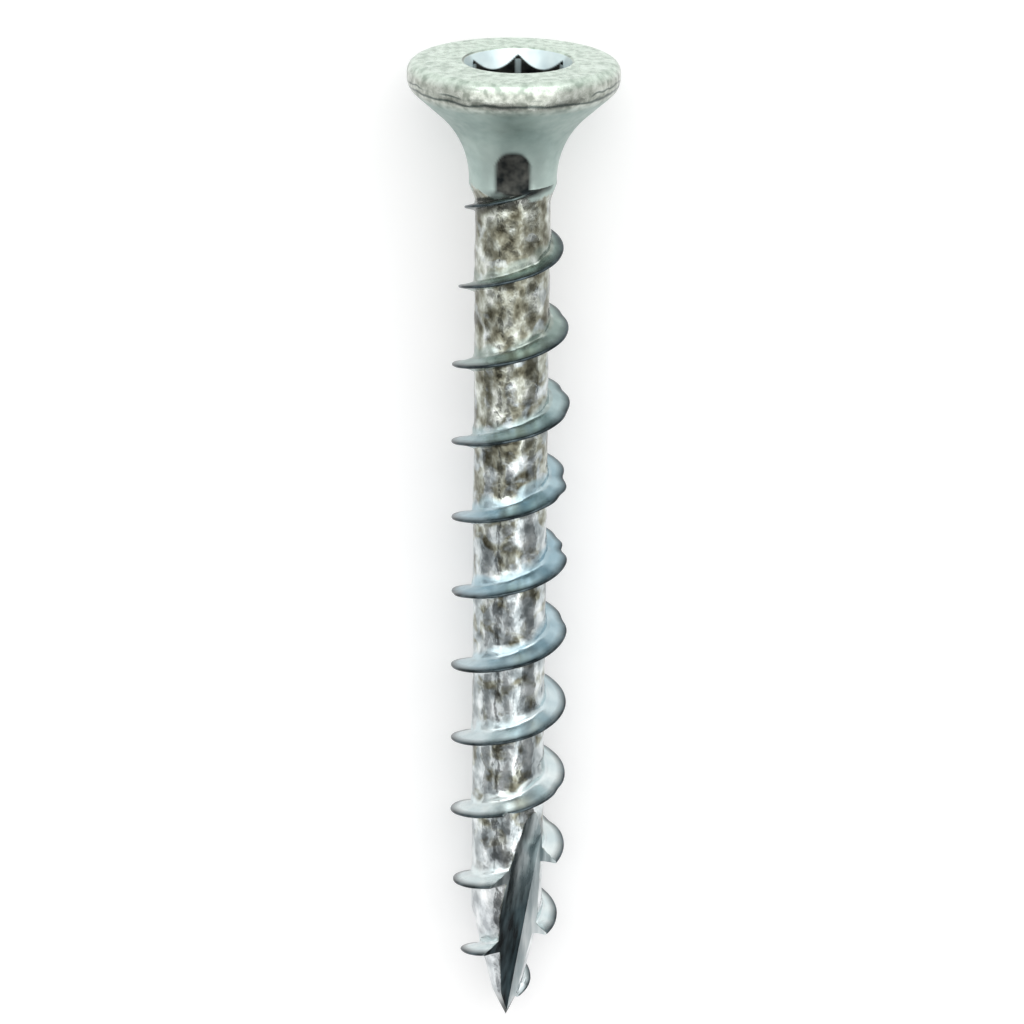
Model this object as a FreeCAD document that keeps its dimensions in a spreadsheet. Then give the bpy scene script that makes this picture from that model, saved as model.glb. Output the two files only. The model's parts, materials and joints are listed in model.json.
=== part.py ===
import FreeCAD, Part
import math
import os
import Sketcher

# The hinge screw: one piece of cold-formed and thread-rolled steel wire.
# It is modelled upright in its body, with the head's flat face at height 0, the axis along Z,
# the point below and the flute to the front, and the body's placement then lays it on the ground
# as it comes to rest: on the head's rim and one turn of the thread, with the head towards +Y.
# All lengths are in millimetres and all angles in degrees.
# A station is a distance along the axis, measured down from the head's flat face.

DRIVING_SIZES = (
    ("screw_length", 41.5),
    # Head: a flat face with a rounded rim, and a hollow flare that runs into the neck
    ("head_diameter", 8.3),
    ("rim_top_radius", 0.45),
    ("rim_band", 0.41),
    ("rim_under_radius", 0.25),
    ("flare_angle", 48.0),
    ("flare_radius", 3.6),
    ("neck_diameter", 3.44),
    ("neck_length", 0.5),
    # Shank: the wire between the threads, which narrows to a sharp point
    ("shank_taper", 1.4),
    ("shank_diameter", 2.96),
    ("point_length", 5.2),
    ("nose_length", 1.3),
    ("nose_diameter", 1.2),
    # Thread: one right-hand start, rolled high and thin
    ("thread_diameter", 4.8),
    ("thread_pitch", 3.245),
    ("thread_crest", 0.13),
    ("blade_height", 0.3),
    ("blade_angle", 12.0),
    ("flank_height", 0.3),
    ("flank_angle", 17.0),
    ("root_angle", 22.0),
    ("thread_core_diameter", 0.6),
    ("thread_top_gap", 0.45),
    ("thread_point_gap", 1.52),
    ("runout_step", 0.03),
    ("runout_length", 7.3),
    ("thread_taper", 7.9),
    ("thread_shoulder", 3.2),
    ("shoulder_diameter", 3.9),
    ("thread_tip", 0.6),
    ("thread_tip_diameter", 1.0),
    # Drive recess: a straight six-sided socket under a round mouth with a leaning wall
    ("socket_across_flats", 3.5),
    ("socket_corner_radius", 0.1),
    ("socket_depth", 2.2),
    ("mouth_diameter", 4.26),
    ("mouth_lean", 27.5),
    ("mouth_depth", 0.85),
    # Flute: a right-angled notch that opens the point for chips
    ("flute_length", 8.9),
    ("flute_side", 1.45),
    ("flute_front", 0.45),
    ("flute_web", 0.1),
    ("flute_angle", 90.0),
    ("cut_clearance", 1.0),
)

NODE = "hinge_screw"
SOCKET_SIDES = 6
# The number of short cones that stand for each rounding of the head
RIM_FACETS = 3
UNDER_FACETS = 1
FLARE_FACETS = 3
# A step that changes the volume by less than this, in cubic millimetres, has gone wrong
LEAST_CHANGE = 0.05
# The flute's two end sections, as shares of its length above the tip
FLUTE_ABOVE = 1.18
FLUTE_BELOW = -0.12

document = FreeCAD.newDocument("hinge_screw")
sheet = document.addObject("Spreadsheet::Sheet", "Sizes")
for row, (alias, value) in enumerate(DRIVING_SIZES, start=1):
    sheet.set(f"A{row}", alias)
    sheet.set(f"B{row}", str(value))
    sheet.setAlias(f"B{row}", alias)
document.recompute()


def size(alias):
    """A driving size, read back from the sheet."""
    return float(sheet.get(alias))


def sine(angle):
    return math.sin(math.radians(angle))


def cosine(angle):
    return math.cos(math.radians(angle))


def tangent(angle):
    return math.tan(math.radians(angle))


# Stations and radii that follow from the driving sizes, for the sketches' first positions
head_radius = size("head_diameter") / 2
neck_radius = size("neck_diameter") / 2
shank_radius = size("shank_diameter") / 2
thread_radius = size("thread_diameter") / 2
nose_radius = size("nose_diameter") / 2
screw_length = size("screw_length")
clearance = size("cut_clearance")
under_start = size("rim_top_radius") + size("rim_band")
under_rise = size("rim_under_radius") * sine(size("flare_angle"))
under_run = size("rim_under_radius") * (1 - cosine(size("flare_angle")))
hollow_rise = size("flare_radius") * sine(size("flare_angle"))
hollow_run = size("flare_radius") * (1 - cosine(size("flare_angle")))
slope_run = head_radius - under_run - neck_radius - hollow_run
slope_rise = slope_run / tangent(size("flare_angle"))
flare_end = under_start + under_rise + slope_rise + hollow_rise
neck_end = flare_end + size("neck_length")
shank_start = neck_end + size("shank_taper")
point_start = screw_length - size("point_length")
nose_start = screw_length - size("nose_length")

# The station where the flare ends, as an expression over the sheet
FLARE_END = (
    "(Sizes.rim_top_radius + Sizes.rim_band"
    " + (Sizes.rim_under_radius + Sizes.flare_radius) * sin(Sizes.flare_angle)"
    " + (Sizes.head_diameter / 2 - Sizes.neck_diameter / 2"
    " - (Sizes.rim_under_radius + Sizes.flare_radius) * (1 - cos(Sizes.flare_angle)))"
    " / tan(Sizes.flare_angle))"
)

body = document.addObject("PartDesign::Body", "Screw")
body.Label = NODE


def origin_plane(role):
    """One of the body's own three origin planes, such as XZ_Plane."""
    for feature in body.Origin.OriginFeatures:
        if feature.Role == role:
            return feature
    raise RuntimeError(f"no origin plane {role}")


def new_sketch(name, role, lift=None):
    """An empty sketch on an origin plane, raised along its normal by an expression."""
    sketch = body.newObject("Sketcher::SketchObject", name)
    sketch.AttachmentSupport = [(origin_plane(role), "")]
    sketch.MapMode = "FlatFace"
    if lift:
        sketch.setExpression(".AttachmentOffset.Base.z", lift)
    return sketch


def bind(sketch, constraint, expression):
    """Adds a constraint whose value is an expression over the sheet."""
    number = sketch.addConstraint(constraint)
    sketch.setExpression(f"Constraints[{number}]", expression)


def add_line(sketch, start, end):
    return sketch.addGeometry(Part.LineSegment(FreeCAD.Vector(*start, 0), FreeCAD.Vector(*end, 0)))


def add_arc(sketch, centre, radius, start_angle, end_angle):
    """An arc drawn counterclockwise from one angle to the other."""
    circle = Part.Circle(FreeCAD.Vector(*centre, 0), FreeCAD.Vector(0, 0, 1), radius)
    return sketch.addGeometry(
        Part.ArcOfCircle(circle, math.radians(start_angle), math.radians(end_angle))
    )


def pin_start(sketch, edge, point, across, along):
    """Fixes an edge's start by two expressions, where None keeps it on that axis of the sketch."""
    if across is None:
        sketch.addConstraint(Sketcher.Constraint("PointOnObject", edge, 1, -2))
    else:
        bind(sketch, Sketcher.Constraint("DistanceX", -1, 1, edge, 1, point[0]), across)
    if along is None:
        sketch.addConstraint(Sketcher.Constraint("PointOnObject", edge, 1, -1))
    else:
        bind(sketch, Sketcher.Constraint("DistanceY", -1, 1, edge, 1, point[1]), along)


def draw_polygon(sketch, corners):
    """A closed outline; each corner is a first position and the expressions that fix it."""
    edges = []
    for number, (start, _, _) in enumerate(corners):
        end = corners[(number + 1) % len(corners)][0]
        edges.append(add_line(sketch, start, end))
    for number, edge in enumerate(edges):
        following = edges[(number + 1) % len(edges)]
        sketch.addConstraint(Sketcher.Constraint("Coincident", edge, 2, following, 1))
    for edge, (start, across, along) in zip(edges, corners):
        pin_start(sketch, edge, start, across, along)


def settle():
    """Recomputes the document and stops at the first feature that failed."""
    document.recompute()
    for item in document.Objects:
        if "Invalid" in item.State or "Error" in item.State:
            raise RuntimeError(f"{item.Name} failed: {item.State}")


def head_outline():
    """Corners from the face's edge to the flare's foot; each rounding is a few short cones."""
    corners = []
    for number in range(RIM_FACETS + 1):
        angle = 90 * number / RIM_FACETS
        round_radius = size("rim_top_radius")
        corners.append((
            (head_radius - round_radius * (1 - sine(angle)), -round_radius * (1 - cosine(angle))),
            f"Sizes.head_diameter / 2 - Sizes.rim_top_radius * (1 - sin({angle}))",
            f"-Sizes.rim_top_radius * (1 - cos({angle}))" if number else None,
        ))
    for number in range(UNDER_FACETS + 1):
        share = number / UNDER_FACETS
        angle = share * size("flare_angle")
        round_radius = size("rim_under_radius")
        corners.append((
            (head_radius - round_radius * (1 - cosine(angle)), -under_start - round_radius * sine(angle)),
            f"Sizes.head_diameter / 2 - Sizes.rim_under_radius * (1 - cos({share} * Sizes.flare_angle))",
            "-Sizes.rim_top_radius - Sizes.rim_band"
            f" - Sizes.rim_under_radius * sin({share} * Sizes.flare_angle)",
        ))
    for number in range(FLARE_FACETS, -1, -1):
        share = number / FLARE_FACETS
        angle = share * size("flare_angle")
        round_radius = size("flare_radius")
        corners.append((
            (neck_radius + round_radius * (1 - cosine(angle)), -flare_end + round_radius * sine(angle)),
            f"Sizes.neck_diameter / 2 + Sizes.flare_radius * (1 - cos({share} * Sizes.flare_angle))",
            f"-{FLARE_END} + Sizes.flare_radius * sin({share} * Sizes.flare_angle)",
        ))
    return corners


def turned_blank():
    """The head, neck, shank and point, revolved as one solid."""
    sketch = new_sketch("BlankSketch", "XZ_Plane")
    neck_text = f"-{FLARE_END} - Sizes.neck_length"
    draw_polygon(sketch, (
        ((0, 0), None, None),
        *head_outline(),
        ((neck_radius, -neck_end), "Sizes.neck_diameter / 2", neck_text),
        ((shank_radius, -shank_start), "Sizes.shank_diameter / 2", f"{neck_text} - Sizes.shank_taper"),
        ((shank_radius, -point_start), "Sizes.shank_diameter / 2",
         "Sizes.point_length - Sizes.screw_length"),
        ((nose_radius, -nose_start), "Sizes.nose_diameter / 2",
         "Sizes.nose_length - Sizes.screw_length"),
        ((0, -screw_length), None, "-Sizes.screw_length"),
    ))
    blank = body.newObject("PartDesign::Revolution", "Blank")
    blank.Profile = sketch
    blank.ReferenceAxis = (sketch, ["V_Axis"])
    blank.Angle = 360
    settle()
    return blank


def rolled_thread():
    """A ridge swept along a helix, from near the tip up to the neck: thin above, wide at its root."""
    sketch = new_sketch("ThreadSketch", "XZ_Plane")
    middle = screw_length - size("thread_point_gap")
    middle_text = "(Sizes.screw_length - Sizes.thread_point_gap)"
    radius = thread_radius
    radius_text = "Sizes.thread_diameter / 2"
    half_width = size("thread_crest") / 2
    width_text = "Sizes.thread_crest / 2"
    root_height = thread_radius - size("blade_height") - size("flank_height")
    root_height -= size("thread_core_diameter") / 2
    root_text = (
        "(Sizes.thread_diameter / 2 - Sizes.blade_height - Sizes.flank_height"
        " - Sizes.thread_core_diameter / 2)"
    )
    strips = (
        (size("blade_height"), "Sizes.blade_height", "blade_angle"),
        (size("flank_height"), "Sizes.flank_height", "flank_angle"),
        (root_height, root_text, "root_angle"),
    )
    profile = [(radius, half_width, radius_text, width_text)]
    for height, height_text, angle_name in strips:
        radius -= height
        radius_text += f" - {height_text}"
        half_width += height * tangent(size(angle_name))
        width_text += f" + {height_text} * tan(Sizes.{angle_name})"
        profile.append((radius, half_width, radius_text, width_text))
    upper = [
        ((across, width - middle), across_text, f"{along_text} - {middle_text}")
        for across, width, across_text, along_text in profile
    ]
    lower = [
        ((across, -width - middle), across_text, f"-({along_text}) - {middle_text}")
        for across, width, across_text, along_text in reversed(profile)
    ]
    draw_polygon(sketch, (*lower, *upper))
    thread = body.newObject("PartDesign::AdditiveHelix", "Thread")
    thread.Profile = sketch
    thread.ReferenceAxis = (sketch, ["V_Axis"])
    thread.Mode = 0
    thread.Angle = 0
    thread.Growth = 0
    thread.LeftHanded = False
    thread.Reversed = False
    thread.setExpression("Pitch", "Sizes.thread_pitch")
    thread.setExpression("Height", f"{middle_text} - {FLARE_END} - Sizes.thread_top_gap")
    settle()
    return thread


def revolved_cut(name, corners):
    """A closed outline in the axis plane, turned all round the axis and taken away."""
    sketch = new_sketch(f"{name}Sketch", "XZ_Plane")
    draw_polygon(sketch, corners)
    groove = body.newObject("PartDesign::Groove", name)
    groove.Profile = sketch
    groove.ReferenceAxis = (sketch, ["V_Axis"])
    groove.Angle = 360
    settle()
    return groove


def thread_runout():
    """Lowers the thread's crest along a cone, so that it grows out of the neck."""
    inner = neck_radius + size("runout_step")
    outer = thread_radius + clearance
    foot = flare_end + size("runout_length")
    inner_text = "Sizes.neck_diameter / 2 + Sizes.runout_step"
    outer_text = "Sizes.thread_diameter / 2 + Sizes.cut_clearance"
    foot_text = f"-({FLARE_END} + Sizes.runout_length)"
    return revolved_cut("Runout", (
        ((inner, -flare_end), inner_text, f"-{FLARE_END}"),
        ((outer, -flare_end), outer_text, f"-{FLARE_END}"),
        ((outer, -foot), outer_text, foot_text),
        ((thread_radius, -foot), "Sizes.thread_diameter / 2", foot_text),
    ))


def thread_point_taper():
    """Lowers the crest towards the point, gently to a shoulder and then steeply."""
    outer = thread_radius + clearance
    taper_top = size("thread_taper") - screw_length
    shoulder = size("thread_shoulder") - screw_length
    tip = size("thread_tip") - screw_length
    outer_text = "Sizes.thread_diameter / 2 + Sizes.cut_clearance"
    taper_text = "Sizes.thread_taper - Sizes.screw_length"
    tip_text = "Sizes.thread_tip - Sizes.screw_length"
    return revolved_cut("PointTaper", (
        ((thread_radius, taper_top), "Sizes.thread_diameter / 2", taper_text),
        ((outer, taper_top), outer_text, taper_text),
        ((outer, tip), outer_text, tip_text),
        ((size("thread_tip_diameter") / 2, tip), "Sizes.thread_tip_diameter / 2", tip_text),
        ((size("shoulder_diameter") / 2, shoulder), "Sizes.shoulder_diameter / 2",
         "Sizes.thread_shoulder - Sizes.screw_length"),
    ))


def drive_socket():
    """The six-sided socket in the head's face, with small round corners, one of them to the back."""
    sketch = new_sketch("SocketSketch", "XY_Plane")
    corner_radius = size("socket_corner_radius")
    half_step = 180 / SOCKET_SIDES
    reach = (size("socket_across_flats") / 2 - corner_radius) / cosine(half_step)
    reach_text = f"(Sizes.socket_across_flats / 2 - Sizes.socket_corner_radius) / cos({half_step})"
    turns = [(2 * number + 1) * half_step for number in range(SOCKET_SIDES)]
    corners = []
    for turn in turns:
        centre = (reach * cosine(turn), reach * sine(turn))
        corner = add_arc(sketch, centre, corner_radius, turn - half_step, turn + half_step)
        bind(sketch, Sketcher.Constraint("DistanceX", -1, 1, corner, 3, centre[0]),
             f"{reach_text} * cos({turn})")
        bind(sketch, Sketcher.Constraint("DistanceY", -1, 1, corner, 3, centre[1]),
             f"{reach_text} * sin({turn})")
        bind(sketch, Sketcher.Constraint("Radius", corner, corner_radius), "Sizes.socket_corner_radius")
        corners.append(corner)
    for number, corner in enumerate(corners):
        following = corners[(number + 1) % SOCKET_SIDES]
        side = add_line(
            sketch,
            sketch.getPoint(corner, 2)[:2],
            sketch.getPoint(following, 1)[:2],
        )
        sketch.addConstraint(Sketcher.Constraint("Tangent", corner, 2, side, 1))
        sketch.addConstraint(Sketcher.Constraint("Tangent", side, 2, following, 1))
    socket = body.newObject("PartDesign::Pocket", "Socket")
    socket.Profile = sketch
    socket.Type = 0
    socket.Reversed = False
    socket.setExpression("Length", "Sizes.socket_depth")
    settle()
    return socket


def socket_mouth():
    """The round mouth over the socket, which guides the key in."""
    mouth_radius = size("mouth_diameter") / 2
    depth = size("mouth_depth")
    foot = mouth_radius - depth * tangent(size("mouth_lean"))
    return revolved_cut("Mouth", (
        ((0, 0), None, None),
        ((mouth_radius, 0), "Sizes.mouth_diameter / 2", None),
        ((foot, -depth), "Sizes.mouth_diameter / 2 - Sizes.mouth_depth * tan(Sizes.mouth_lean)",
         "-Sizes.mouth_depth"),
        ((0, -depth), None, "-Sizes.mouth_depth"),
    ))


def flute_section(name, share):
    """The notch's outline at a share of its length above the tip; it opens to the front."""
    sketch = new_sketch(name, "XY_Plane", f"{share} * Sizes.flute_length - Sizes.screw_length")
    side = share * size("flute_side")
    front = size("flute_web") + share * (size("flute_front") - size("flute_web"))
    reach = size("thread_diameter")
    side_text = f"{share} * Sizes.flute_side"
    front_text = f"(Sizes.flute_web + {share} * (Sizes.flute_front - Sizes.flute_web))"
    spread = reach * sine(size("flute_angle") / 2)
    drop = reach * cosine(size("flute_angle") / 2)
    spread_text = "Sizes.thread_diameter * sin(Sizes.flute_angle / 2)"
    drop_text = "Sizes.thread_diameter * cos(Sizes.flute_angle / 2)"
    draw_polygon(sketch, (
        ((side, -front), side_text, f"-{front_text}"),
        ((side - spread, -front - drop), f"{side_text} - {spread_text}", f"-{front_text} - {drop_text}"),
        ((side + spread, -front - drop), f"{side_text} + {spread_text}", f"-{front_text} - {drop_text}"),
    ))
    return sketch


def point_flute():
    """The notch, cut from above its visible start to just past the tip."""
    above = flute_section("FluteAbove", FLUTE_ABOVE)
    below = flute_section("FluteBelow", FLUTE_BELOW)
    flute = body.newObject("PartDesign::SubtractiveLoft", "Flute")
    flute.Profile = above
    flute.Sections = [below]
    flute.Ruled = True
    settle()
    return flute


def resting_tilt():
    """How far the axis dips from head to point when the screw lies on its rim and its thread."""
    rim_station = under_start
    dip = math.inf
    crest_station = screw_length - size("thread_point_gap") - size("thread_pitch") / 4
    taper_start = screw_length - size("thread_taper")
    shoulder_start = screw_length - size("thread_shoulder")
    shoulder_radius = size("shoulder_diameter") / 2
    while crest_station > neck_end:
        if crest_station < taper_start:
            crest_radius = thread_radius
        elif crest_station < shoulder_start:
            share = (crest_station - taper_start) / (shoulder_start - taper_start)
            crest_radius = thread_radius + share * (shoulder_radius - thread_radius)
        else:
            crest_radius = nose_radius
        slope = (head_radius - crest_radius) / (crest_station - rim_station)
        dip = min(dip, math.degrees(math.atan(slope)))
        crest_station -= size("thread_pitch")
    return dip


def lay_down():
    """Places the body on the ground, flute up, with its box centred over the origin."""
    turn = FreeCAD.Rotation(FreeCAD.Vector(1, 0, 0), resting_tilt() - 90)
    body.Placement = FreeCAD.Placement(FreeCAD.Vector(0, 0, 0), turn)
    box = body.Shape.optimalBoundingBox(False)
    body.Placement = FreeCAD.Placement(FreeCAD.Vector(-box.Center.x, -box.Center.y, -box.ZMin), turn)


volume = turned_blank().Shape.Volume
print(f"blank {volume:.2f} mm3")
STEPS = (
    (rolled_thread, 1),
    (thread_runout, -1),
    (thread_point_taper, -1),
    (drive_socket, -1),
    (socket_mouth, -1),
    (point_flute, -1),
)
for build_step, direction in STEPS:
    feature = build_step()
    change = feature.Shape.Volume - volume
    print(f"{feature.Name} {change:+.2f} mm3, {len(feature.Shape.Faces)} faces")
    if change * direction < LEAST_CHANGE:
        raise RuntimeError(f"{feature.Name} changed the solid the wrong way or not at all")
    volume += change
lay_down()
settle()
if body.Shape.isNull() or not body.Shape.isValid() or len(body.Shape.Solids) != 1:
    raise RuntimeError("the screw is not one valid solid")
os.makedirs("parts", exist_ok=True)
body.Shape.exportStep(f"parts/{NODE}.step")
print(f"{body.Label} dips {resting_tilt():.3f} degrees and fills {body.Shape.Volume:.2f} mm3")
print("its box:", body.Shape.optimalBoundingBox(False))
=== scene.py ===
# %% [markdown]
# # A zinc-plated hinge screw
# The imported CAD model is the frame: it says where the screw lies and how big it is. This
# script gives it the surface that a rolled and plated screw really has, in a studio as plain
# as the photograph's. Lengths are in millimetres until the mesh is made.

# %% Load the frame
import json
import math

import bpy
import numpy as np
from mathutils import Matrix, Vector, noise


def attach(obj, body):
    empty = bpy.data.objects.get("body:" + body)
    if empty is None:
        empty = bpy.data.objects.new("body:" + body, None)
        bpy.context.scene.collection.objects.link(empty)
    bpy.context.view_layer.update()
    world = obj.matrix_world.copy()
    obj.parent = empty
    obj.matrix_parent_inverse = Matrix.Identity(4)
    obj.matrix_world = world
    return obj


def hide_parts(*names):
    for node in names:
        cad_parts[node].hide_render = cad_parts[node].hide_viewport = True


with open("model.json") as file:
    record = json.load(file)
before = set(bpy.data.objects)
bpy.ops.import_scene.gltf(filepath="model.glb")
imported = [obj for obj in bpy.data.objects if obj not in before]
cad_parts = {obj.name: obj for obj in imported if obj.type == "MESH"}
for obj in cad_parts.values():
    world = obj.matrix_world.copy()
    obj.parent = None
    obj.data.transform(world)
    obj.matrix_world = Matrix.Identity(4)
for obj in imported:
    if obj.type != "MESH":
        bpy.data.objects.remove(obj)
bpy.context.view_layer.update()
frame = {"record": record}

# %% [markdown]
# The screw is drawn upright, with its axis along Z, the flat face at height 0 and the point
# below. The record names the middle of the recess and the direction of the axis, which is all
# that is needed to lay the finished mesh exactly where the CAD solid lies.

# %% Where the screw lies
MM = 0.001
recess_mount = next(m for m in frame["record"]["mounts"] if m["name"] == "drive_recess")
axis_up = Vector(recess_mount["axis"]).normalized()
axis_right = Vector((1, 0, 0))
axis_back = axis_up.cross(axis_right)
placement = Matrix((axis_right, axis_back, axis_up)).transposed().to_4x4()
placement.translation = Vector(recess_mount["pos_m"])
print("the head's face is centred at", [round(value, 4) for value in placement.translation])

# %% [markdown]
# ## Sizes
# These are the same named sizes as in the part's source. Stations are measured down the axis
# from the head's face.

# %% Named sizes, in millimetres
LENGTH = 41.5
HEAD_RADIUS = 4.15
RIM_TOP_RADIUS = 0.45
RIM_BAND = 0.41
RIM_UNDER_RADIUS = 0.25
FLARE_ANGLE = math.radians(48)
FLARE_RADIUS = 3.6
NECK_RADIUS = 1.72
NECK_LENGTH = 0.5
SHANK_RADIUS = 1.48
POINT_LENGTH = 5.2
NOSE_LENGTH = 1.3
NOSE_RADIUS = 0.6
THREAD_PITCH = 3.245
THREAD_POINT_GAP = 1.52
UNDER_START = RIM_TOP_RADIUS + RIM_BAND
ROUNDS = RIM_UNDER_RADIUS + FLARE_RADIUS
SLOPE_RUN = HEAD_RADIUS - NECK_RADIUS - ROUNDS * (1 - math.cos(FLARE_ANGLE))
FLARE_END = UNDER_START + ROUNDS * math.sin(FLARE_ANGLE) + SLOPE_RUN / math.tan(FLARE_ANGLE)
NECK_END = FLARE_END + NECK_LENGTH
print(f"the flare ends at {FLARE_END:.3f} mm and the neck at {NECK_END:.3f} mm")

# %% [markdown]
# ## One skin for the whole screw
# A real screw is one skin of steel, so the mesh is one skin too: rings of points, all with the
# same number of columns, joined ring by ring from the floor of the recess, over the face and
# down to the point. A skin like this shades smoothly and needs no joints to hide.

# %% Points and rings
COLUMNS = 144
TURN = 2 * math.pi
column_angles = np.arange(COLUMNS) * TURN / COLUMNS
points = []
marks = []


def add_point(x, y, z, ridge=0.0, crest=0.0, painted_dark=0.0):
    """Adds a point, and marks from 0 to 1 for the thread's sides, its crest and the painted dark: painted
    shade, painted dark reflection and a darker point.
    """
    points.append((x, y, z))
    marks.append((ridge, crest, painted_dark, -z))
    return len(points) - 1


def add_ring(outline, height, painted_dark=0.0):
    """Adds a ring from an outline of (x, y) rows, one for each column."""
    dark_marks = np.broadcast_to(painted_dark, COLUMNS)
    return [add_point(x, y, height, painted_dark=mark) for (x, y), mark in zip(outline, dark_marks)]


def circle(radius):
    """The outline of a circle, one row for each column."""
    return np.stack((np.cos(column_angles), np.sin(column_angles)), axis=1) * radius


print("each ring has", COLUMNS, "points")

# %% [markdown]
# A strip of four-sided faces joins two rings, and each face notes its finish. Where corners
# fell together, the face becomes a triangle or is left out.

# %% Faces between the rings
HEAD_FINISH, MOUTH_FINISH, THREAD_FINISH, CUT_FINISH, LAND_FINISH = range(5)
faces = []
finishes = []


def add_face(corners, finish):
    """Adds a face, and leaves out corners that fell together."""
    kept = [corner for number, corner in enumerate(corners) if corner != corners[number - 1]]
    if len(set(kept)) == len(kept) and len(kept) >= 3:
        faces.append(kept)
        finishes.append(finish)


def join_rings(first, second, finish):
    """Joins two rings, the first of them nearer to the recess along the skin."""
    for column in range(COLUMNS):
        following = (column + 1) % COLUMNS
        add_face((first[column], second[column], second[following], first[following]), finish)


print("the skin has", LAND_FINISH + 1, "finishes")

# %% [markdown]
# ## The drive recess
# The punch leaves a straight socket with six sides, under a round mouth that leans outwards and
# guides the key in. Seen from the front, the mouth's wall hangs down in a bright petal over each
# side of the socket, and a dark notch stands over each corner. The outline is walked at equal
# steps along its sides and its round corners, so that the corners get their share of columns.

# %% The socket's outline
SOCKET_FLAT = 1.75
CORNER_RADIUS = 0.1
SOCKET_DEPTH = 2.1
SOCKET_SIDES = 6
HALF_SIDE = math.pi / SOCKET_SIDES
CORNER_POINTS = 9


def socket_outline(flat, corner_radius):
    """Six sides joined by round corners, one row for each column."""
    corner_centre = (flat - corner_radius) / math.cos(HALF_SIDE)
    path = []
    for corner in range(SOCKET_SIDES):
        turn = (2 * corner + 1) * HALF_SIDE
        centre = np.array((math.cos(turn), math.sin(turn))) * corner_centre
        for angle in np.linspace(turn - HALF_SIDE, turn + HALF_SIDE, CORNER_POINTS):
            path.append(centre + corner_radius * np.array((math.cos(angle), math.sin(angle))))
    # The walk starts on the X axis, where the circles of the head start too
    path = np.array([(flat, 0), *path, (flat, 0)])
    walked = np.concatenate(([0], np.cumsum(np.linalg.norm(np.diff(path, axis=0), axis=1))))
    steps = np.arange(COLUMNS) / COLUMNS * walked[-1]
    return np.stack([np.interp(steps, walked, path[:, side]) for side in (0, 1)], axis=1)


socket = socket_outline(SOCKET_FLAT, CORNER_RADIUS)
socket_reach = np.linalg.norm(socket, axis=1)
socket_directions = socket / socket_reach[:, None]
print(f"the socket's corners reach {socket_reach.max():.2f} mm")

# %% [markdown]
# The socket's floor is a shallow cone, painted dark as painted shade, and is drawn as rings of the socket's
# own outline round its middle. The punch struck a little to the right of the screw's axis.

# %% The socket's floor
FLOOR_RISE = 0.3
FLOOR_SHARES = (0.25, 0.5, 0.75)
PUNCH_SHIFT = np.array((0.16, 0.0))


def floor_ring(share):
    """A ring of the floor, at a share of the way from its middle to the socket's walls."""
    return add_ring(socket * share + PUNCH_SHIFT, -SOCKET_DEPTH - FLOOR_RISE * (1 - share), 1.0)


# The floor is painted dark all over, as painted shade deep in the recess
middle = add_point(*PUNCH_SHIFT, -SOCKET_DEPTH - FLOOR_RISE, painted_dark=1.0)
ring = floor_ring(FLOOR_SHARES[0])
for column in range(COLUMNS):
    add_face((middle, ring[column], ring[(column + 1) % COLUMNS]), HEAD_FINISH)
for share in FLOOR_SHARES[1:]:
    following = floor_ring(share)
    join_rings(ring, following, HEAD_FINISH)
    ring = following
print("the floor has", len(points), "points")

# %% [markdown]
# Each ring above the floor takes, for every column, the larger of the socket's reach and the mouth's radius
# at that depth, which draws the petals and the notches by itself. Painted shade sits on the socket's walls,
# but deep down their corners are left pale, as a painted highlight. The mouth's two ends, at the screw's left
# and right, have a little painted shade too.

# %% The recess's walls
MOUTH_RADIUS = 2.13
MOUTH_LEAN = math.radians(27.5)
MOUTH_EDGE = 0.06
# Deep in the socket its corners are left pale, as a painted highlight
CORNER_HIGHLIGHT_REACH = 1.97
CORNER_HIGHLIGHT_DEPTH = 0.42
# Painted shade starts where the socket's wall drops below the mouth's cone
SOCKET_SHADE_EDGE = 0.02
# A little painted shade at the mouth's left and right ends
END_SHADE = 0.3
END_DIRECTION = 0.87
END_FADE = 0.05
SOCKET_DEPTHS = np.linspace(SOCKET_DEPTH, 0.9, 5)
MOUTH_DEPTHS = np.linspace(0.8, MOUTH_EDGE, 26)
side_ends = END_SHADE * np.clip((np.abs(socket_directions[:, 0]) - END_DIRECTION) / END_FADE, 0, 1)
for depth in (*SOCKET_DEPTHS, *MOUTH_DEPTHS):
    cone = MOUTH_RADIUS - depth * math.tan(MOUTH_LEAN)
    reach = np.maximum(socket_reach, cone)
    painted_dark = np.maximum(np.clip((socket_reach - cone) / SOCKET_SHADE_EDGE, 0, 1), side_ends)
    # The painted highlight: the corners lose their painted shade below this depth
    if depth > CORNER_HIGHLIGHT_DEPTH:
        painted_dark[socket_reach > CORNER_HIGHLIGHT_REACH] = 0
    following = add_ring(socket_directions * reach[:, None] + PUNCH_SHIFT, -depth, painted_dark)
    join_rings(ring, following, MOUTH_FINISH)
    ring = following
print("with its walls the recess has", len(points), "points")

# %% [markdown]
# The mouth's edge is a small round. Its left end has the most painted shade, a dark spot.

# %% The mouth's edge
# Painted shade on the mouth's edge, darkest at its left end
EDGE_SHADE = 0.7
SPOT_ANGLE = 0.35
SPOT_WIDTH = 0.5
mouth_circle = socket_directions * MOUTH_RADIUS + PUNCH_SHIFT
left_end = np.arctan2(socket_directions[:, 1], -socket_directions[:, 0])
spot = EDGE_SHADE * np.exp(-((left_end - SPOT_ANGLE) / SPOT_WIDTH) ** 2)
for angle, shade_share in ((45, 1), (90, 0)):
    turned = math.radians(angle)
    edge = mouth_circle + socket_directions * MOUTH_EDGE * (1 - math.cos(turned))
    following = add_ring(edge, -MOUTH_EDGE * (1 - math.sin(turned)), shade_share * (spot + side_ends))
    join_rings(ring, following, HEAD_FINISH)
    ring = following
print("with its edge the recess has", len(points), "points")

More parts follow.
